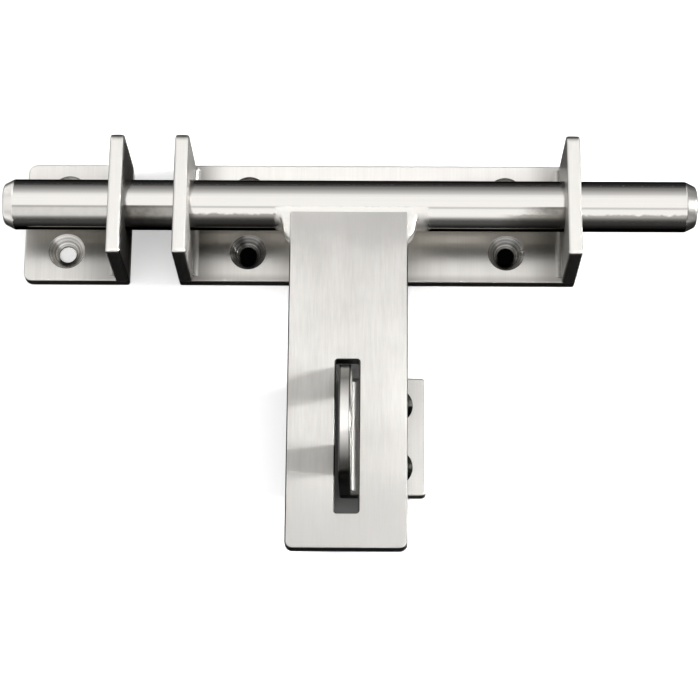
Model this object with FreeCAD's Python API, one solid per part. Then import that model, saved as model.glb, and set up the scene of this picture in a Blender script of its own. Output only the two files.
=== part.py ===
import FreeCAD, Part
import math
import os

# Sliding bolt latch of stainless flat bar, lying on its back: X runs along the bolt, Y across the
# bars, Z away from the door. The origin is on the door face, under the bolt's axis and midway
# along the latch plate. All sizes are in millimetres.

# Round bolt
rod_diameter = 16.0
rod_length = 219.0
rod_axis_height = 17.3
rod_shift = -8.8
rod_nose_length = 3.4
rod_nose_depth = 1.7
rod_nose_round = 1.4
rod_shoulder_round = 1.2
bore_clearance = 0.1

# Flat bar that the latch plate and the keeper are cut from
bar_width = 40.0
bar_thickness = 4.0
bar_shift = -1.0
bar_corner_radius = 0.9
free_corner_radius = 2.8
bar_edge_round = 0.6

# Latch plate and keeper
latch_plate_length = 127.0
keeper_plate_length = 34.0
keeper_gap = 16.0

# Upright guide ears
ear_thickness = 4.4
ear_wall_over_bore = 6.6
ear_far_corner_radius = 3.2
ear_near_corner_radius = 1.0
ear_edge_round = 0.8
ear_weld_leg = 1.8

# Countersunk screw holes
screw_hole_diameter = 5.5
countersink_diameter = 11.8
countersink_angle = 90.0
screw_pitch_across = 20.0
latch_screw_pitch = 83.0
keeper_screw_inset = 13.6
staple_screw_inset = 10.0

# Handle plate welded across the bolt
handle_width = 37.0
handle_thickness = 5.0
handle_face_rise = 6.6
handle_end_margin = 11.0
handle_corner_radius = 2.3
handle_edge_round = 0.5
handle_weld_flare = 6.6
handle_weld_width = 2.5
handle_weld_tail = 5.4
handle_weld_round = 1.8
handle_weld_step = 0.3

# Slot in the handle for the padlock eye
slot_side_play = 3.8
slot_end_play = 9.9
slot_start = 52.8
slot_corner_radius = 0.8
slot_edge_round = 0.45

# Padlock staple
staple_width = 38.0
staple_plate_length = 27.0
staple_corner_radius = 1.5
eye_thickness = 3.6
eye_stand = 11.1
eye_side_shift = -0.7
eye_end_clearance = 0.2
eye_hole_diameter = 15.0
eye_hole_wall = 4.0
eye_edge_round = 0.5
eye_weld_leg = 1.5

# Places that follow from the sizes
rod_radius = rod_diameter / 2
rod_start = rod_shift - rod_length / 2
latch_start = -latch_plate_length / 2
latch_end = latch_plate_length / 2
keeper_end = latch_start - keeper_gap
keeper_start = keeper_end - keeper_plate_length
bar_low = bar_shift - bar_width / 2
bar_high = bar_shift + bar_width / 2
screw_low = bar_shift - screw_pitch_across / 2
screw_high = bar_shift + screw_pitch_across / 2
ear_height = rod_axis_height + rod_radius + bore_clearance + ear_wall_over_bore
slot_width = eye_thickness + slot_side_play
slot_length = eye_end_clearance + staple_width + slot_end_play
handle_reach = slot_start + slot_length + handle_end_margin
handle_start = rod_shift - handle_width / 2
handle_end = rod_shift + handle_width / 2
handle_face = rod_axis_height + handle_face_rise
handle_back = handle_face - handle_thickness
slot_near_y = -slot_start
slot_far_y = -slot_start - slot_length
eye_radius = staple_width / 2
eye_height = handle_face + eye_stand
eye_centre_y = slot_near_y - eye_end_clearance - eye_radius
eye_start = rod_shift + eye_side_shift - eye_thickness / 2
eye_end = eye_start + eye_thickness
staple_end = eye_start + staple_plate_length
eye_hole_height = eye_height - eye_hole_wall - eye_hole_diameter / 2

across = FreeCAD.Vector(0, 1, 0)
along = FreeCAD.Vector(1, 0, 0)
upward = FreeCAD.Vector(0, 0, 1)


def point(x, y, z):
    return FreeCAD.Vector(x, y, z)


def block(x0, x1, y0, y1, z0, z1):
    return Part.makeBox(x1 - x0, y1 - y0, z1 - z0, point(x0, y0, z0))


def edges_where(shape, test):
    return [edge for edge in shape.Edges if test(edge)]


def runs_along(edge, direction):
    # a straight edge parallel to the direction
    if not isinstance(edge.Curve, Part.Line):
        return False
    return abs(abs(edge.Curve.Direction.dot(direction)) - 1) < 1e-6


def lies_at(edge, axis, value):
    # every point of the edge has this coordinate
    low = (edge.BoundBox.XMin, edge.BoundBox.YMin, edge.BoundBox.ZMin)[axis]
    high = (edge.BoundBox.XMax, edge.BoundBox.YMax, edge.BoundBox.ZMax)[axis]
    return abs(low - value) < 1e-3 and abs(high - value) < 1e-3


def flat_bar(x0, x1, y0, y1, z0, z1, corner_x0, corner_x1, edge_round):
    # a sawn length of flat bar: corners rounded in plan at each end, front edges broken
    bar = block(x0, x1, y0, y1, z0, z1)
    for x, corner in ((x0, corner_x0), (x1, corner_x1)):
        corners = edges_where(
            bar, lambda edge: runs_along(edge, upward) and lies_at(edge, 0, x)
        )
        bar = bar.makeFillet(corner, corners)
    return bar.makeFillet(edge_round, edges_where(bar, lambda edge: lies_at(edge, 2, z1)))


def countersunk_hole(x, y, face):
    # through hole with a conical seat that opens to the front face
    hole_radius = screw_hole_diameter / 2
    seat_radius = countersink_diameter / 2
    seat_depth = (seat_radius - hole_radius) / math.tan(math.radians(countersink_angle / 2))
    past = 1.0
    hole = Part.makeCylinder(hole_radius, face + 2 * past, point(x, y, -past))
    seat = Part.makeCone(hole_radius, seat_radius, seat_depth, point(x, y, face - seat_depth))
    mouth = Part.makeCylinder(seat_radius, past, point(x, y, face))
    return hole.fuse([seat, mouth])


def drill(bar, centres, face):
    for x, y in centres:
        bar = bar.cut(countersunk_hole(x, y, face))
    return bar


def guide_ear(x0):
    # upright ear, bored for the bolt, with its outline rounded on both sides
    x1 = x0 + ear_thickness
    ear = block(x0, x1, bar_low, bar_high, bar_thickness, ear_height)
    for y, radius in ((bar_low, ear_near_corner_radius), (bar_high, ear_far_corner_radius)):
        corner = edges_where(
            ear,
            lambda edge: runs_along(edge, along)
            and lies_at(edge, 2, ear_height)
            and lies_at(edge, 1, y),
        )
        ear = ear.makeFillet(radius, corner)
    outline = edges_where(
        ear,
        lambda edge: (lies_at(edge, 0, x0) or lies_at(edge, 0, x1))
        and not lies_at(edge, 2, bar_thickness),
    )
    ear = ear.makeFillet(ear_edge_round, outline)
    bore = Part.makeCylinder(
        rod_radius + bore_clearance, ear_thickness, point(x0, 0, rod_axis_height), along
    )
    return ear.cut(bore)


def corner_weld(x, side, leg, y0, y1):
    # ground fillet weld in the inside corner of a plate and an upright; side is the plate's way
    lip = leg / 10
    centre = point(x + side * leg, y0, bar_thickness + leg)
    reach = leg - lip
    slope = reach / math.sqrt(2)
    corner = point(x, y0, bar_thickness)
    foot = point(x + side * leg, y0, bar_thickness)
    foot_lip = point(x + side * leg, y0, bar_thickness + lip)
    middle = centre - point(side * slope, 0, slope)
    head_lip = point(x + side * lip, y0, bar_thickness + leg)
    head = point(x, y0, bar_thickness + leg)
    wire = Part.Wire(
        [
            Part.makeLine(corner, foot),
            Part.makeLine(foot, foot_lip),
            Part.Arc(foot_lip, middle, head_lip).toShape(),
            Part.makeLine(head_lip, head),
            Part.makeLine(head, corner),
        ]
    )
    return Part.Face(wire).extrude(across * (y1 - y0))


def bolt_rod():
    # turned bar with a long chamfer at each end and a rolled rim
    rod_end = rod_start + rod_length
    nose_radius = rod_radius - rod_nose_depth
    body = Part.makeCylinder(
        rod_radius,
        rod_length - 2 * rod_nose_length,
        point(rod_start + rod_nose_length, 0, rod_axis_height),
        along,
    )
    left = Part.makeCone(
        nose_radius, rod_radius, rod_nose_length, point(rod_start, 0, rod_axis_height), along
    )
    right = Part.makeCone(
        nose_radius, rod_radius, rod_nose_length, point(rod_end, 0, rod_axis_height), along * -1
    )
    rod = body.fuse([left, right]).removeSplitter()
    rims = edges_where(
        rod, lambda edge: lies_at(edge, 0, rod_start) or lies_at(edge, 0, rod_end)
    )
    rod = rod.makeFillet(rod_nose_round, rims)
    shoulders = edges_where(
        rod,
        lambda edge: lies_at(edge, 0, rod_start + rod_nose_length)
        or lies_at(edge, 0, rod_end - rod_nose_length),
    )
    return rod.makeFillet(rod_shoulder_round, shoulders)


def rod_space():
    # the room that the bolt takes out of what is welded to it
    return Part.makeCylinder(
        rod_radius, rod_length, point(rod_start, 0, rod_axis_height), along
    )


def handle_plate():
    # flat bar that butts against the front of the bolt, ground to its curve, with the long slot
    inside = math.sqrt(rod_radius**2 - handle_face_rise**2) * 0.9
    plate = block(handle_start, handle_end, -handle_reach, -inside, handle_back, handle_face)
    plate = plate.makeFillet(
        handle_corner_radius,
        edges_where(
            plate, lambda edge: runs_along(edge, upward) and lies_at(edge, 1, -handle_reach)
        ),
    )
    front_rim = edges_where(
        plate,
        lambda edge: (lies_at(edge, 2, handle_face) or lies_at(edge, 2, handle_back))
        and not lies_at(edge, 1, -inside),
    )
    plate = plate.makeFillet(handle_edge_round, front_rim)
    past = 1.0
    slot = block(
        rod_shift - slot_width / 2,
        rod_shift + slot_width / 2,
        slot_far_y,
        slot_near_y,
        handle_back - past,
        handle_face + past,
    )
    slot = slot.makeFillet(
        slot_corner_radius, edges_where(slot, lambda edge: runs_along(edge, upward))
    )
    plate = plate.cut(slot)
    slot_rim = edges_where(
        plate,
        lambda edge: lies_at(edge, 2, handle_face)
        and edge.BoundBox.XMin > handle_start + slot_width
        and edge.BoundBox.XMax < handle_end - slot_width
        and edge.BoundBox.YMin > slot_far_y - slot_width
        and edge.BoundBox.YMax < slot_near_y + slot_width,
    )
    plate = plate.makeFillet(slot_edge_round, slot_rim)
    return plate.cut(rod_space())


def handle_weld(side_x, side):
    # ground weld that fills the corner of the bolt and the handle's edge: wide where it runs out
    # onto the bolt, then a bead down the handle's edge, with its front rim rounded over
    low = handle_back + handle_weld_step
    high = handle_face - handle_weld_step
    start = 0.87 * math.sqrt(rod_radius**2 - (high - rod_axis_height) ** 2)
    run = rod_radius + handle_weld_tail - start
    outline = (
        (handle_weld_flare, 0.0),
        (handle_weld_flare * 0.65, 0.12),
        (handle_weld_flare * 0.455, 0.275),
        (handle_weld_width, 0.47),
        (handle_weld_width * 0.88, 0.67),
        (handle_weld_width * 0.48, 0.87),
        (0.0, 1.0),
    )
    points = [point(side_x + side * out, -start - run * share, low) for out, share in outline]
    edge_curve = Part.BSplineCurve()
    edge_curve.interpolate(points)
    inner = point(side_x, 0, low)
    outer = point(side_x + side * handle_weld_flare, 0, low)
    wire = Part.Wire(
        [
            Part.makeLine(inner, outer),
            Part.makeLine(outer, points[0]),
            edge_curve.toShape(),
            Part.makeLine(points[-1], inner),
        ]
    )
    weld = Part.Face(wire).extrude(upward * (high - low))
    rim = edges_where(
        weld,
        lambda edge: lies_at(edge, 2, high)
        and edge.BoundBox.YMax < -start / 2
        and edge.BoundBox.XMax - edge.BoundBox.XMin > handle_weld_width,
    )
    return weld.makeFillet(handle_weld_round, rim).cut(rod_space())


def eye_plate():
    # upright padlock eye: a bar end rounded to a half circle, with the shackle hole through it
    low = eye_centre_y - eye_radius
    high = eye_centre_y + eye_radius
    spring = eye_height - eye_radius
    wire = Part.Wire(
        [
            Part.makeLine(point(eye_start, low, bar_thickness), point(eye_start, low, spring)),
            Part.Arc(
                point(eye_start, low, spring),
                point(eye_start, eye_centre_y, eye_height),
                point(eye_start, high, spring),
            ).toShape(),
            Part.makeLine(point(eye_start, high, spring), point(eye_start, high, bar_thickness)),
            Part.makeLine(point(eye_start, high, bar_thickness), point(eye_start, low, bar_thickness)),
        ]
    )
    eye = Part.Face(wire).extrude(along * eye_thickness)
    hole = Part.makeCylinder(
        eye_hole_diameter / 2, eye_thickness, point(eye_start, eye_centre_y, eye_hole_height), along
    )
    eye = eye.cut(hole)
    outline = edges_where(
        eye,
        lambda edge: (lies_at(edge, 0, eye_start) or lies_at(edge, 0, eye_end))
        and not lies_at(edge, 2, bar_thickness),
    )
    return eye.makeFillet(eye_edge_round, outline)


def screw_row(x):
    return [(x, screw_low), (x, screw_high)]


os.makedirs("parts", exist_ok=True)
parts = {}

# Keeper, screwed to the frame that the bolt shoots into
parts["keeper_plate"] = drill(
    flat_bar(keeper_start, keeper_end, bar_low, bar_high, 0, bar_thickness,
             free_corner_radius, bar_corner_radius, bar_edge_round),
    screw_row(keeper_start + keeper_screw_inset),
    bar_thickness,
)
parts["keeper_ear"] = guide_ear(keeper_end - ear_thickness)
parts["keeper_ear_weld"] = corner_weld(
    keeper_end - ear_thickness, -1, ear_weld_leg, bar_low + ear_weld_leg, bar_high - ear_weld_leg
)

# Latch plate, screwed to the door, with a guide ear at each end
parts["latch_plate"] = drill(
    flat_bar(latch_start, latch_end, bar_low, bar_high, 0, bar_thickness,
             bar_corner_radius, bar_corner_radius, bar_edge_round),
    screw_row(-latch_screw_pitch / 2) + screw_row(latch_screw_pitch / 2),
    bar_thickness,
)
parts["left_guide_ear"] = guide_ear(latch_start)
parts["right_guide_ear"] = guide_ear(latch_end - ear_thickness)
parts["left_guide_weld"] = corner_weld(
    latch_start + ear_thickness, 1, ear_weld_leg, bar_low + ear_weld_leg, bar_high - ear_weld_leg
)
parts["right_guide_weld"] = corner_weld(
    latch_end - ear_thickness, -1, ear_weld_leg, bar_low + ear_weld_leg, bar_high - ear_weld_leg
)

# Bolt and the handle welded to it
parts["bolt_rod"] = bolt_rod()
parts["handle_plate"] = handle_plate()
parts["handle_weld_left"] = handle_weld(handle_start, -1)
parts["handle_weld_right"] = handle_weld(handle_end, 1)

# Padlock staple, screwed to the door under the handle
parts["staple_plate"] = drill(
    flat_bar(eye_start, staple_end, eye_centre_y - eye_radius, eye_centre_y + eye_radius,
             0, bar_thickness, bar_corner_radius, staple_corner_radius, bar_edge_round),
    [
        (staple_end - staple_screw_inset, eye_centre_y - screw_pitch_across / 2),
        (staple_end - staple_screw_inset, eye_centre_y + screw_pitch_across / 2),
    ],
    bar_thickness,
)
parts["staple_eye"] = eye_plate()
parts["staple_eye_weld"] = corner_weld(
    eye_end, 1, eye_weld_leg, eye_centre_y - eye_radius + eye_weld_leg,
    eye_centre_y + eye_radius - eye_weld_leg
)

for name, shape in parts.items():
    if not shape.isValid() or len(shape.Solids) != 1:
        raise RuntimeError(f"{name} is not one valid solid")
    solid = shape.Solids[0]
    print(name, round(solid.Volume, 1))
    solid.exportStep(f"parts/{name}.step")
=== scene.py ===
# Sliding bolt latch in satin stainless steel, lying on its back on a pale table under a light tent.
# Units are metres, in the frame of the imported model: X along the bolt, Y across, Z off the table.

import math

import bpy
from mathutils import Matrix, Vector


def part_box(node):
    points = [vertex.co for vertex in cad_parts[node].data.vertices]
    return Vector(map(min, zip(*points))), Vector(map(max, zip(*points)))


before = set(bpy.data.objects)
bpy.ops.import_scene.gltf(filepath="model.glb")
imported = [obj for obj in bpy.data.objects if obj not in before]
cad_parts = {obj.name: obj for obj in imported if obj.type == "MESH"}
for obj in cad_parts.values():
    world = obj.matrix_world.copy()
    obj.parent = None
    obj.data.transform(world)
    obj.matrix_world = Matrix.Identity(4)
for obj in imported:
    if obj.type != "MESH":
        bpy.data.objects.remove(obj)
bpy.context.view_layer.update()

# Camera. It stands over the handle's end and looks down on the latch, almost square to the door
# face, with a long lens; the picture is square.
camera_data = bpy.data.cameras.new("camera")
camera_data.sensor_width = 36.0
camera_data.lens = 111.5
camera = bpy.data.objects.new("camera", camera_data)
bpy.context.scene.collection.objects.link(camera)
bpy.context.scene.camera = camera
eye = Vector((0.0007, -0.2435, 0.6620))
lean_forward = math.radians(16.887)
turn_left = math.radians(0.755)
roll = math.radians(0.296)
camera.matrix_world = (
    Matrix.Translation(eye)
    @ Matrix.Rotation(lean_forward, 4, "X")
    @ Matrix.Rotation(turn_left, 4, "Y")
    @ Matrix.Rotation(roll, 4, "Z")
)

# Table. A plain pale sheet, wide enough to fill every view. The camera and the polished metal see
# it a little lighter than the tent alone makes it.
table_size = 12.0
table_drop = 0.0001
table_lift = 0.35
table_colour = (0.93, 0.93, 0.93, 1)


def add_math(tree, operation, *values):
    """A math node; each value is a number or a socket."""
    node = tree.nodes.new("ShaderNodeMath")
    node.operation = operation
    for index, value in enumerate(values):
        if isinstance(value, (int, float)):
            node.inputs[index].default_value = value
        else:
            tree.links.new(value, node.inputs[index])
    return node.outputs[0]


bpy.ops.mesh.primitive_plane_add(size=table_size, location=(0, 0, -table_drop))
table = bpy.context.object
table.name = "table"
table_paint = bpy.data.materials.new("pale_table")
table_paint.use_nodes = True
tree = table_paint.node_tree
shader = tree.nodes["Principled BSDF"]
shader.inputs["Base Color"].default_value = table_colour
shader.inputs["Roughness"].default_value = 0.9
shader.inputs["Specular IOR Level"].default_value = 0.0
shader.inputs["Emission Color"].default_value = table_colour
ray = tree.nodes.new("ShaderNodeLightPath")
seen = add_math(tree, "MAXIMUM", ray.outputs["Is Camera Ray"], ray.outputs["Is Glossy Ray"])
tree.links.new(add_math(tree, "MULTIPLY", seen, table_lift), shader.inputs["Emission Strength"])
table.data.materials.append(table_paint)

# Black acrylic. The latch lies on a strip of black acrylic that runs front to back: the metal's
# lower faces mirror it, and it shows through the screw holes of the latch plate and the staple. The
# sheet under the handle's slot is a painted shadow: dark grey, fading out toward its edges.
sheet_gap = 0.00005
sheet_inset = 0.0012
strip_outline = (
    (-0.9, -2.0),
    (0.9, -2.0),
    (0.15, -0.13),
    (0.15, 0.05),
    (0.9, 2.0),
    (-0.9, 2.0),
    (-0.15, 0.05),
    (-0.15, -0.13),
)
slot_sheet = ((-0.0260, -0.1110), (0.0085, -0.1110), (0.0085, -0.0430), (-0.0260, -0.0430))
shadow_middle = (-0.0088, -0.0745)
shadow_core = (0.006, 0.028)
shadow_edge = (0.017, 0.036)


def acrylic_paint(name, colour):
    """Polished acrylic of one colour."""
    paint = bpy.data.materials.new(name)
    paint.use_nodes = True
    shader = paint.node_tree.nodes["Principled BSDF"]
    shader.inputs["Base Color"].default_value = (*colour, 1)
    shader.inputs["Roughness"].default_value = 0.08
    shader.inputs["IOR"].default_value = 1.2
    return paint


def acrylic_sheet(name, outline, paint):
    """A thin sheet on the table with the given outline."""
    mesh = bpy.data.meshes.new(name)
    mesh.from_pydata([(x, y, -sheet_gap) for x, y in outline], [], [tuple(range(len(outline)))])
    sheet = bpy.data.objects.new(name, mesh)
    bpy.context.scene.collection.objects.link(sheet)
    mesh.materials.append(paint)
    return sheet


def surface_place(tree, kind="Object"):
    """Where a point lies on its piece."""
    return tree.nodes.new("ShaderNodeTexCoord").outputs[kind]


def split_axes(tree, vector):
    """A vector's parts along X, Y and Z."""
    node = tree.nodes.new("ShaderNodeSeparateXYZ")
    tree.links.new(vector, node.inputs[0])
    return node.outputs


def add_spread(tree, value, low, high, new_low, new_high, smooth=True):
    """Maps a value's range onto another, eased and held at the ends."""
    node = tree.nodes.new("ShaderNodeMapRange")
    node.interpolation_type = "SMOOTHSTEP" if smooth else "LINEAR"
    for name, number in (
        ("From Min", low),
        ("From Max", high),
        ("To Min", new_low),
        ("To Max", new_high),
    ):
        node.inputs[name].default_value = number
    tree.links.new(value, node.inputs["Value"])
    return node.outputs["Result"]


def below(tree, value, low, high, most=1.0):
    """A mask that is full up to low and gone from high on."""
    return add_spread(tree, value, low, high, most, 0.0)


def above(tree, value, low, high, most=1.0):
    """A mask that is gone up to low and full from high on."""
    return add_spread(tree, value, low, high, 0.0, most)


def overlap(tree, *masks):
    """The share that all the masks have in common."""
    share = masks[0]
    for mask in masks[1:]:
        share = add_math(tree, "MULTIPLY", share, mask)
    return share


def distance_from(tree, value, middle):
    """How far a value is from a middle, to either side."""
    return add_math(tree, "ABSOLUTE", add_math(tree, "SUBTRACT", value, middle))


black_acrylic = acrylic_paint("black_acrylic", (0.002, 0.002, 0.002))
strip = acrylic_sheet("acrylic_strip", strip_outline, black_acrylic)
strip.visible_camera = False
strip.visible_diffuse = False
strip.visible_shadow = False
for plate in ("latch_plate", "staple_plate"):
    low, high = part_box(plate)
    x0, x1 = low[0] + sheet_inset, high[0] - sheet_inset
    y0, y1 = low[1] + sheet_inset, high[1] - sheet_inset
    outline = ((x0, y0), (x1, y0), (x1, y1), (x0, y1))
    acrylic_sheet("acrylic_under_" + plate, outline, black_acrylic)
# Painted shadow under the handle: a dark grey sheet whose alpha fades out from the slot's middle.
slot_shadow_acrylic = acrylic_paint("slot_shadow_acrylic", (0.12, 0.12, 0.117))
tree = slot_shadow_acrylic.node_tree
axes = split_axes(tree, surface_place(tree))
shadow_fades = []
for axis, middle, core, edge in zip("XY", shadow_middle, shadow_core, shadow_edge):
    shadow_fades.append(below(tree, distance_from(tree, axes[axis], middle), core, edge))
tree.links.new(overlap(tree, *shadow_fades), tree.nodes["Principled BSDF"].inputs["Alpha"])
acrylic_sheet("acrylic_under_slot", slot_sheet, slot_shadow_acrylic)

# Light tent. A cloth tunnel along the bolt, lit overhead and on the camera's side, and fading to
# dark behind, so that round metal shades from white to black. Two pale panels stand at the back
# corners, and a small lamp low at the right casts the padlock eye's shadow on the handle.
tent_radius = 2.5
tent_light = 1.15
tent_section = (
    (-90, 0.20),
    (-84, 0.30),
    (-76, 0.50),
    (-67, 0.95),
    (-60, 1.00),
    (-34, 1.00),
    (-31, 0.66),
    (-25, 0.66),
    (-22, 1.00),
    (22, 1.00),
    (30, 0.90),
    (39, 0.66),
    (50, 0.46),
    (61, 0.29),
    (74, 0.20),
    (90, 0.06),
)
tent_ends = ((0.00, 0.45), (0.30, 1.00))
back_panel_light = 0.8
back_panel_side = (0.26, 0.40)
back_panel_depth = (0.40, 0.55)
side_lamp_light = 116.0
side_lamp_turn = math.radians(3.0)
side_lamp_rise = math.radians(9.0)
side_lamp_edges = (math.cos(math.radians(11.0)), math.cos(math.radians(6.0)))


def ramp_of(tree, value, steps):
    """A grey ramp through (position, level) steps, read at a value."""
    ramp = tree.nodes.new("ShaderNodeValToRGB")
    stops = ramp.color_ramp.elements
    for index, (position, level) in enumerate((steps[0], steps[-1])):
        stops[index].position = position
        stops[index].color = (level, level, level, 1)
    for position, level in steps[1:-1]:
        stops.new(position).color = (level, level, level, 1)
    tree.links.new(value, ramp.inputs[0])
    return ramp.outputs["Color"]


def add_vector_math(tree, operation, *values):
    """A vector math node; each value is a vector or a socket."""
    node = tree.nodes.new("ShaderNodeVectorMath")
    node.operation = operation
    for index, value in enumerate(values):
        if isinstance(value, tuple):
            node.inputs[index].default_value = value
        else:
            tree.links.new(value, node.inputs[index])
    return node.outputs["Value" if operation == "DOT_PRODUCT" else "Vector"]


bpy.ops.mesh.primitive_uv_sphere_add(segments=64, ring_count=48, radius=tent_radius)
tent = bpy.context.object
tent.name = "light_tent"
tent_cloth = bpy.data.materials.new("tent_cloth")
tent_cloth.use_nodes = True
tree = tent_cloth.node_tree
tree.nodes.clear()
place = surface_place(tree)
axes = split_axes(tree, place)
turn = add_math(tree, "ARCTAN2", axes["Y"], axes["Z"])
turn_share = add_spread(tree, turn, -math.pi / 2, math.pi / 2, 0.0, 1.0, smooth=False)
section_steps = [(0.5 + degrees / 180, level) for degrees, level in tent_section]
direction = add_vector_math(tree, "NORMALIZE", place)
toward = split_axes(tree, direction)
cloth_light = overlap(
    tree,
    ramp_of(tree, turn_share, section_steps),
    ramp_of(tree, toward["Z"], tent_ends),
)
back_panels = overlap(
    tree,
    above(tree, add_math(tree, "ABSOLUTE", toward["X"]), *back_panel_side),
    above(tree, toward["Y"], *back_panel_depth),
)
cloth_light = add_math(tree, "MULTIPLY_ADD", back_panels, back_panel_light, cloth_light)
side_lamp_aim = (
    math.cos(side_lamp_rise) * math.cos(side_lamp_turn),
    math.cos(side_lamp_rise) * math.sin(side_lamp_turn),
    math.sin(side_lamp_rise),
)
aim = add_vector_math(tree, "DOT_PRODUCT", direction, side_lamp_aim)
side_lamp = above(tree, aim, *side_lamp_edges, most=side_lamp_light)
glow = tree.nodes.new("ShaderNodeEmission")
strength = add_math(tree, "MULTIPLY_ADD", cloth_light, tent_light, side_lamp)
tree.links.new(strength, glow.inputs["Strength"])
out = tree.nodes.new("ShaderNodeOutputMaterial")
tree.links.new(glow.outputs[0], out.inputs["Surface"])
tent.data.materials.append(tent_cloth)
tent.visible_camera = False
tent.visible_shadow = False

# Room. It is plain and pale, and only the camera sees it: all other rays end on the tent or on the
# table. Colours are shown as they are written.
world = bpy.data.worlds.new("room")
bpy.context.scene.world = world
world.use_nodes = True
room_light = world.node_tree.nodes["Background"]
room_light.inputs["Color"].default_value = (0.9, 0.9, 0.9, 1)
room_light.inputs["Strength"].default_value = 1.0
bpy.context.scene.view_settings.view_transform = "Standard"

# Brushed grain. Belt grinding leaves long fine scratches one way; the group gives their colour,
# roughness and height from noise drawn out along the brushing.
grain = bpy.data.node_groups.new("brushed_grain", "ShaderNodeTree")


def group_sockets(group, inputs, outputs):
    """Declares a group's sockets: names and kinds."""
    for name, kind in inputs:
        group.interface.new_socket(name, in_out="INPUT", socket_type="NodeSocket" + kind)
    for name, kind in outputs:
        group.interface.new_socket(name, in_out="OUTPUT", socket_type="NodeSocket" + kind)


def add_noise(tree, vector, scale, detail, roughness):
    """Noise on a vector socket."""
    node = tree.nodes.new("ShaderNodeTexNoise")
    node.inputs["Scale"].default_value = scale
    node.inputs["Detail"].default_value = detail
    node.inputs["Roughness"].default_value = roughness
    tree.links.new(vector, node.inputs["Vector"])
    return node.outputs["Fac"]


def add_mix(tree, kind, factor, first, second):
    """Mixes two colours or two numbers; each is a value or a socket."""
    node = tree.nodes.new("ShaderNodeMix")
    node.data_type = kind
    tree.links.new(factor, node.inputs["Factor"])
    slots = [slot for slot in node.inputs if slot.enabled and slot.name in ("A", "B")]
    for slot, value in zip(slots, (first, second)):
        if isinstance(value, tuple):
            slot.default_value = (*value, 1)
        elif isinstance(value, float):
            slot.default_value = value
        else:
            tree.links.new(value, slot)
    return next(result for result in node.outputs if result.enabled)


group_sockets(
    grain,
    (
        ("Along", "Vector"),
        ("Pale", "Color"),
        ("Dark", "Color"),
        ("Smooth", "Float"),
        ("Rough", "Float"),
        ("Blotches", "Float"),
    ),
    (("Color", "Color"), ("Roughness", "Float"), ("Height", "Float")),
)
given = grain.nodes.new("NodeGroupInput").outputs
result = grain.nodes.new("NodeGroupOutput").inputs
place = surface_place(grain)
drawn = add_vector_math(grain, "MULTIPLY", place, given["Along"])
hair = add_noise(grain, drawn, scale=7000.0, detail=2.0, roughness=0.6)
scratch = add_noise(grain, drawn, scale=1900.0, detail=3.0, roughness=0.6)
band = add_noise(grain, drawn, scale=260.0, detail=2.0, roughness=0.5)
blotch = add_noise(grain, place, scale=55.0, detail=3.0, roughness=0.5)
streaks = add_math(grain, "MULTIPLY_ADD", scratch, 0.65, add_math(grain, "MULTIPLY", band, 0.35))
clouds = add_math(grain, "MULTIPLY", add_math(grain, "SUBTRACT", blotch, 0.5), given["Blotches"])
mottled = add_math(grain, "ADD", streaks, clouds)
worked = add_spread(grain, mottled, 0.3, 0.7, 0.0, 1.0, smooth=False)
grain.links.new(add_mix(grain, "RGBA", worked, given["Dark"], given["Pale"]), result["Color"])
gloss = add_mix(grain, "FLOAT", worked, given["Rough"], given["Smooth"])
grain.links.new(gloss, result["Roughness"])
relief = add_math(grain, "MULTIPLY_ADD", scratch, 0.35, add_math(grain, "MULTIPLY", hair, 0.65))
grain.links.new(relief, result["Height"])


def warm_grey(level):
    """Stainless steel's colour at a level: a grey with a little less green and blue."""
    return (level, 0.975 * level, 0.93 * level)


sideways = (1.0, 0.0, 0.2)


def steel(name, along, pale, dark, smooth, rough, blotches, depth, spread=0.0):
    """A metal brushed along the axis whose share in along is small. Pale and dark are its levels,
    smooth and rough its roughness, and depth is the scratches'; spread draws the gloss out
    sideways across them."""
    paint = bpy.data.materials.new(name)
    paint.use_nodes = True
    tree = paint.node_tree
    shader = tree.nodes["Principled BSDF"]
    shader.inputs["Metallic"].default_value = 1.0
    shader.inputs["Anisotropic"].default_value = spread
    if spread:
        across = tree.nodes.new("ShaderNodeVectorTransform")
        across.vector_type = "VECTOR"
        across.convert_from = "OBJECT"
        across.convert_to = "WORLD"
        across.inputs[0].default_value = sideways
        tree.links.new(across.outputs[0], shader.inputs["Tangent"])
    finish = tree.nodes.new("ShaderNodeGroup")
    finish.node_tree = grain
    finish.inputs["Along"].default_value = along
    finish.inputs["Pale"].default_value = (*warm_grey(pale), 1)
    finish.inputs["Dark"].default_value = (*warm_grey(dark), 1)
    finish.inputs["Smooth"].default_value = smooth
    finish.inputs["Rough"].default_value = rough
    finish.inputs["Blotches"].default_value = blotches
    relief = tree.nodes.new("ShaderNodeBump")
    relief.inputs["Strength"].default_value = 1.0
    relief.inputs["Distance"].default_value = depth
    tree.links.new(finish.outputs["Color"], shader.inputs["Base Color"])
    tree.links.new(finish.outputs["Roughness"], shader.inputs["Roughness"])
    tree.links.new(finish.outputs["Height"], relief.inputs["Height"])
    tree.links.new(relief.outputs["Normal"], shader.inputs["Normal"])
    return paint


def lay_over(paint, share, colour, roughness=None):
    """Lays a second colour over a finish where share is 1, and a second roughness if given."""
    tree = paint.node_tree
    shader = tree.nodes["Principled BSDF"]
    for kind, name, value in (("RGBA", "Base Color", colour), ("FLOAT", "Roughness", roughness)):
        if value is not None:
            under = shader.inputs[name].links[0].from_socket
            tree.links.new(add_mix(tree, kind, share, under, value), shader.inputs[name])


def finish_node(node, paint):
    """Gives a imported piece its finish."""
    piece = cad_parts[node]
    piece.data.materials.clear()
    piece.data.materials.append(paint)
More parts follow.
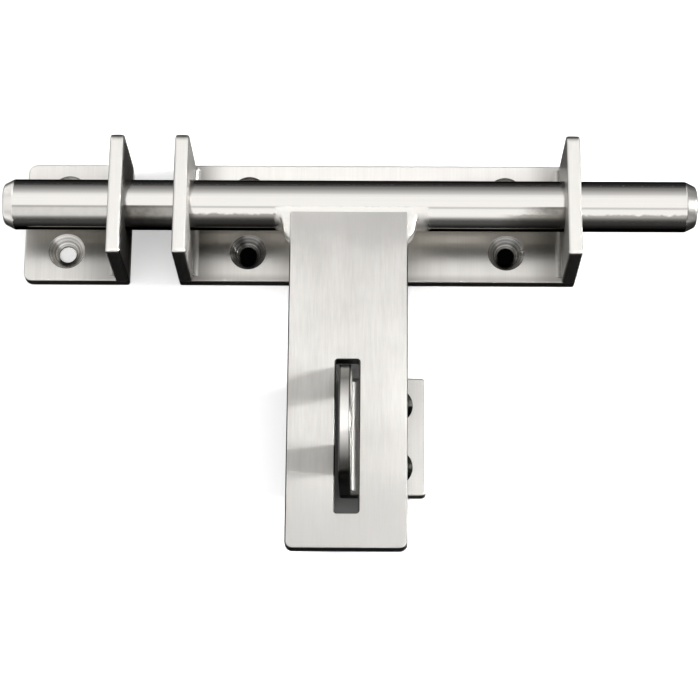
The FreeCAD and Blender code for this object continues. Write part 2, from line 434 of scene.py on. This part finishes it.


# Drilled holes. The countersinks are turned, with faint rings, and their cones are painted dark as
# painted shade and reflection, at a level given plate by plate. The group finds two holes, one on
# either side of a middle.
drilled = bpy.data.node_groups.new("drilled_holes", "ShaderNodeTree")
hole_reach = 0.010
cone_edge = (0.00592, 0.00600)
cone_top = (-0.00006, -0.00002)
group_sockets(
    drilled,
    (("Middle", "Vector"), ("Reach", "Float"), ("Pale", "Color"), ("Dark", "Color")),
    (("Share", "Float"), ("Shade", "Color")),
)
given = drilled.nodes.new("NodeGroupInput").outputs
result = drilled.nodes.new("NodeGroupOutput").inputs
offset = add_vector_math(drilled, "SUBTRACT", surface_place(drilled), given["Middle"])
from_middle = split_axes(drilled, offset)
along_bolt = from_middle["X"]
far = add_math(drilled, "ABSOLUTE", from_middle["Y"])
across_bolt = add_math(drilled, "SUBTRACT", far, given["Reach"])
squares = [add_math(drilled, "MULTIPLY", side, side) for side in (along_bolt, across_bolt)]
radius = add_math(drilled, "SQRT", add_math(drilled, "ADD", *squares))
in_cone = below(drilled, radius, *cone_edge)
under_top = below(drilled, from_middle["Z"], *cone_top)
drilled.links.new(overlap(drilled, in_cone, under_top), result["Share"])
ring_place = drilled.nodes.new("ShaderNodeCombineXYZ")
drilled.links.new(radius, ring_place.inputs["X"])
rings = add_noise(drilled, ring_place.outputs[0], scale=1600.0, detail=2.0, roughness=0.6)
ring_share = above(drilled, rings, 0.35, 0.65)
turned = add_mix(drilled, "RGBA", ring_share, given["Dark"], given["Pale"])
drilled.links.new(turned, result["Shade"])


def shade_countersinks(paint, middle, rings):
    """Lays turned rings and painted shade on the countersinks of two holes beside a middle."""
    pale, dark = rings
    node = paint.node_tree.nodes.new("ShaderNodeGroup")
    node.node_tree = drilled
    node.inputs["Middle"].default_value = middle
    node.inputs["Reach"].default_value = hole_reach
    node.inputs["Pale"].default_value = (*warm_grey(pale), 1)
    node.inputs["Dark"].default_value = (*warm_grey(dark), 1)
    lay_over(paint, node.outputs["Share"], node.outputs["Shade"], roughness=0.22)


# Latch plate. A length of 4 mm flat bar, sawn, drilled and countersunk, then brushed across its
# length; four screws hold it. Beside the two guide ears it is painted darker as painted shade, and
# along its front edge as a painted dark reflection; its pale level is set above the keeper's as
# painted light.
bar_along = (1.0, 0.02, 1.0)
# Painted shade: a dark grey laid beside the guide ears, along the latch plate's front edge, and on
# the keeper below the bolt.
painted_shade_grey = (0.27, 0.26, 0.245)
# Painted light: the pale level is set above the keeper's, which is the same bar.
latch_steel = steel(
    "latch_plate_bar",
    along=bar_along,
    pale=0.90,
    dark=0.84,
    smooth=0.38,
    rough=0.44,
    blotches=0.30,
    depth=0.000010,
    spread=0.9,
)
tree = latch_steel.node_tree
axes = split_axes(tree, surface_place(tree))
shade_by_left_guide = below(tree, axes["X"], -0.0605, -0.0475)
shade_by_right_guide = above(tree, axes["X"], 0.0470, 0.0560, most=0.50)
shaded_front_edge = below(tree, axes["Y"], -0.0202, -0.0178, most=0.45)
for shaded_zone in (shade_by_left_guide, shade_by_right_guide, shaded_front_edge):
    lay_over(latch_steel, shaded_zone, painted_shade_grey)
# Painted shade in the latch plate's countersinks, darker in the left pair than in the right.
shade_countersinks(latch_steel, (-0.0415, -0.001, 0.004), rings=(0.32, 0.09))
shade_countersinks(latch_steel, (0.0415, -0.001, 0.004), rings=(0.44, 0.16))
finish_node("latch_plate", latch_steel)

# Keeper. A short length of the same bar for the door's frame, with two screws. It is painted darker
# below the bolt, beside its ear, as painted shade.
keeper_steel = steel(
    "keeper_plate_bar",
    along=bar_along,
    pale=0.83,
    dark=0.77,
    smooth=0.38,
    rough=0.44,
    blotches=0.30,
    depth=0.000010,
    spread=0.9,
)
tree = keeper_steel.node_tree
axes = split_axes(tree, surface_place(tree))
# Painted shade below the bolt beside the keeper's ear.
shade_by_ear = above(tree, axes["X"], -0.0980, -0.0860, most=0.45)
below_bolt = below(tree, axes["Y"], -0.006, 0.006)
lay_over(keeper_steel, overlap(tree, shade_by_ear, below_bolt), painted_shade_grey)
# Painted shade in the keeper's countersinks, lighter than the latch plate's.
shade_countersinks(keeper_steel, (-0.0999, -0.001, 0.004), rings=(0.80, 0.34))
finish_node("keeper_plate", keeper_steel)

# Guide ears. Upright pieces of the same bar, bored for the bolt and welded to the plates' ends.
# Their broad faces are painted dark as painted shade and reflection, at a level given ear by ear.
for node, face_level in (("keeper_ear", 0.17), ("left_guide_ear", 0.34), ("right_guide_ear", 0.38)):
    ear_steel = steel(
        node + "_bar",
        along=bar_along,
        pale=0.80,
        dark=0.75,
        smooth=0.32,
        rough=0.38,
        blotches=0.10,
        depth=0.000006,
        spread=0.9,
    )
    tree = ear_steel.node_tree
    axes = split_axes(tree, surface_place(tree, "Generated"))
    # Painted shade on the broad faces, darkest on the keeper's ear.
    shaded_broad_face = above(tree, distance_from(tree, axes["X"], 0.5), 0.44, 0.485)
    lay_over(ear_steel, shaded_broad_face, warm_grey(face_level))
    finish_node(node, ear_steel)

# Ear welds. Each ear stands in a fillet weld of the same stainless steel, run along the inside
# corner at its foot, then ground and brushed.
weld_steel = steel(
    "brushed_weld",
    along=(0.3, 0.3, 0.3),
    pale=0.50,
    dark=0.42,
    smooth=0.34,
    rough=0.44,
    blotches=0.3,
    depth=0.000012,
)
for node in ("keeper_ear_weld", "left_guide_weld", "right_guide_weld"):
    finish_node(node, weld_steel)

# Bolt. Round bar, turned and polished, with a chamfered nose at each end, free in the three ears.
# Its lower front is painted dark beside and between the ears as painted shade and reflection, and
# tinted brown along the rest of it, deepened by painted shade; a painted dark reflection runs along
# its foot; it is ground where the handle's welds run out; and its right nose is painted dark as
# painted shade.
rod_steel = steel(
    "polished_rod",
    along=(0.006, 1.0, 1.0),
    pale=0.80,
    dark=0.77,
    smooth=0.08,
    rough=0.12,
    blotches=0.1,
    depth=0.000002,
)
tree = rod_steel.node_tree
tree.nodes["Principled BSDF"].inputs["Specular Tint"].default_value = (0.06, 0.06, 0.06, 1)
keeper_side = (-0.084, -0.080)
left_guide_face = (-0.0615, -0.0605)
rod_shade_colour = (0.14, 0.127, 0.112)
brown_and_shade = (0.20, 0.185, 0.165)
place = surface_place(tree)
axes = split_axes(tree, place)
scuff = add_noise(tree, place, scale=420.0, detail=3.0, roughness=0.5)
ragged = add_math(tree, "MULTIPLY", add_math(tree, "SUBTRACT", scuff, 0.5), 0.004)
x_ragged = add_math(tree, "ADD", axes["X"], ragged)
y_ragged = add_math(tree, "ADD", axes["Y"], add_math(tree, "MULTIPLY", ragged, 0.3))
front = below(tree, axes["Y"], -0.0031, -0.0027)
mottle = add_spread(tree, scuff, 0.3, 0.7, 0.88, 1.0)
left_end = below(tree, x_ragged, *keeper_side, most=0.34)
between_ears = overlap(
    tree,
    above(tree, x_ragged, *keeper_side),
    add_spread(tree, x_ragged, -0.076, -0.062, 1.0, 0.72),
    below(tree, axes["X"], *left_guide_face),
)
shade_by_right_guide = overlap(
    tree,
    above(tree, x_ragged, 0.043, 0.056, most=0.92),
    below(tree, axes["X"], 0.0600, 0.0605),
)
rod_shade_share = add_math(tree, "ADD", add_math(tree, "ADD", left_end, between_ears), shade_by_right_guide)
# Painted shade and reflection: dark on the lower front beside and between the ears.
lay_over(rod_steel, overlap(tree, rod_shade_share, front, mottle), rod_shade_colour, roughness=0.16)
brown_shade_left = below(tree, x_ragged, -0.0330, -0.0305, most=0.78)
brown_shade_right = above(tree, x_ragged, 0.037, 0.047, most=0.70)
brown_shade_share = overlap(
    tree,
    add_math(tree, "ADD", brown_shade_left, brown_shade_right),
    above(tree, axes["X"], *left_guide_face),
    below(tree, y_ragged, -0.0054, -0.0048),
)
# A brown tint on the lower front, deepened into painted shade.
lay_over(rod_steel, brown_shade_share, brown_and_shade, roughness=0.2)
under_middle = below(tree, axes["Z"], 0.0180, 0.0192)
over_foot = above(tree, axes["Z"], 0.0125, 0.0140)
# Painted dark reflection along the rod's foot, above the plate.
lay_over(rod_steel, overlap(tree, under_middle, over_foot, front), warm_grey(0.035))
ground = overlap(
    tree,
    above(tree, x_ragged, -0.0328, -0.0302),
    below(tree, x_ragged, 0.0140, 0.0180),
    below(tree, y_ragged, -0.0035, -0.0025),
)
lay_over(rod_steel, ground, warm_grey(0.90), roughness=0.52)
left_nose = below(tree, axes["X"], -0.1149, -0.1147)
lay_over(rod_steel, left_nose, warm_grey(0.78), roughness=0.32)
right_nose = above(tree, axes["X"], 0.0971, 0.0973)
# Painted shade on the right nose, against the side lamp's reflection.
lay_over(rod_steel, right_nose, warm_grey(0.21), roughness=0.32)
finish_node("bolt_rod", rod_steel)

# Handle. Flat bar welded to the bolt and brushed along its length. It is painted darker toward its
# free end and over the stretch before the bolt, as painted shade. Its sawn edges and its slot are
# painted dark as painted shade, except where they are blended into the welds.
handle_steel = steel(
    "satin_handle",
    along=(1.0, 0.06, 1.0),
    pale=0.675,
    dark=0.585,
    smooth=0.50,
    rough=0.56,
    blotches=0.90,
    depth=0.000018,
    spread=0.9,
)
tree = handle_steel.node_tree
weld_run = (-0.0175, -0.0125)
slot_middle = (-0.0088, -0.07685)
place = surface_place(tree)
axes = split_axes(tree, place)
smear = add_noise(tree, place, scale=90.0, detail=3.0, roughness=0.6)
ragged = add_math(tree, "MULTIPLY", add_math(tree, "SUBTRACT", smear, 0.5), 0.016)
# Painted shade near the bolt, with a ragged edge.
shade_by_bolt = above(tree, add_math(tree, "ADD", axes["Y"], ragged), -0.021, -0.008, most=0.8)
lay_over(handle_steel, shade_by_bolt, warm_grey(0.51))
# Painted shade growing toward the handle's free end.
shade_to_end = below(tree, axes["Y"], -0.112, -0.058)
lay_over(handle_steel, shade_to_end, warm_grey(0.40))
under_face = below(tree, axes["Z"], 0.02384, 0.02389)
blended = overlap(tree, under_face, above(tree, axes["Y"], *weld_run))
lay_over(handle_steel, blended, warm_grey(0.80), roughness=0.34)
over_back = above(tree, axes["Z"], 0.01893, 0.01920)
past_weld = below(tree, axes["Y"], *weld_run)
sawn_edge = overlap(tree, under_face, over_back, past_weld)
# Painted shade on the sawn edges, darker on their broken corner and darkest in the slot.
lay_over(handle_steel, sawn_edge, warm_grey(0.26))
broken_corner = overlap(tree, sawn_edge, above(tree, axes["Z"], 0.0231, 0.0234))
lay_over(handle_steel, broken_corner, warm_grey(0.05), roughness=0.3)
in_slot = overlap(
    tree,
    below(tree, distance_from(tree, axes["X"], slot_middle[0]), 0.0042, 0.0044),
    below(tree, distance_from(tree, axes["Y"], slot_middle[1]), 0.0246, 0.0248),
    sawn_edge,
)
lay_over(handle_steel, in_slot, warm_grey(0.03))
finish_node("handle_plate", handle_steel)

# Handle welds. The inside corners between handle and bolt are filled with weld metal, then ground
# to a curve and buffed.
buffed_steel = steel(
    "buffed_weld",
    along=(0.3, 0.3, 0.3),
    pale=0.85,
    dark=0.78,
    smooth=0.30,
    rough=0.40,
    blotches=0.3,
    depth=0.000006,
)
for node in ("handle_weld_left", "handle_weld_right"):
    finish_node(node, buffed_steel)

# Staple plate. A short plate with two screws that carries the padlock eye. Its levels are set well
# below the other plates' as painted shade, and it is painted darker still beside the eye, under the
# handle, as painted shade.
# Painted shade: the staple's pale and dark levels are set low.
staple_steel = steel(
    "staple_bar",
    along=bar_along,
    pale=0.62,
    dark=0.57,
    smooth=0.40,
    rough=0.46,
    blotches=0.10,
    depth=0.000010,
    spread=0.9,
)
# Painted shade: the staple's countersinks are nearly black.
shade_countersinks(staple_steel, (0.0057, -0.072, 0.004), rings=(0.07, 0.02))
tree = staple_steel.node_tree
axes = split_axes(tree, surface_place(tree))
# Painted shade beside the eye, under the handle.
shade_beside_eye = below(tree, axes["X"], -0.0020, 0.0060)
lay_over(staple_steel, shade_beside_eye, warm_grey(0.10))
finish_node("staple_plate", staple_steel)

# Padlock eye. Flat bar cut to a round top and drilled for the shackle, set upright on the edge of
# the staple plate. Its rounded corners and its side faces are painted dark as painted shade, and
# its front end darker as painted shade.
eye_steel = steel(
    "eye_bar",
    along=bar_along,
    pale=0.74,
    dark=0.68,
    smooth=0.32,
    rough=0.38,
    blotches=0.10,
    depth=0.000006,
    spread=0.9,
)
tree = eye_steel.node_tree
side_face = (0.490, 0.498)
axes = split_axes(tree, surface_place(tree, "Generated"))
from_core = distance_from(tree, axes["X"], 0.5)
# Painted shade on the rounded corners and the side faces.
rounds = overlap(tree, above(tree, from_core, 0.33, 0.38), below(tree, from_core, *side_face))
lay_over(eye_steel, rounds, warm_grey(0.10))
lay_over(eye_steel, above(tree, from_core, *side_face), warm_grey(0.40))
axes = split_axes(tree, surface_place(tree))
# Painted shade on the eye's front end.
eye_front_shade = below(tree, axes["Y"], -0.0850, -0.0770, most=0.85)
lay_over(eye_steel, eye_front_shade, warm_grey(0.14))
finish_node("staple_eye", eye_steel)

# Eye weld. The fillet of weld metal that holds the padlock eye to its plate; it is too deep to
# reach with a belt and is left rough, and its colour is painted dark as painted shade under the
# handle.
eye_weld_steel = steel(
    "dull_shaded_weld",
    along=bar_along,
    pale=0.20,
    dark=0.16,
    smooth=0.55,
    rough=0.65,
    blotches=0.3,
    depth=0.000010,
)
finish_node("staple_eye_weld", eye_weld_steel)
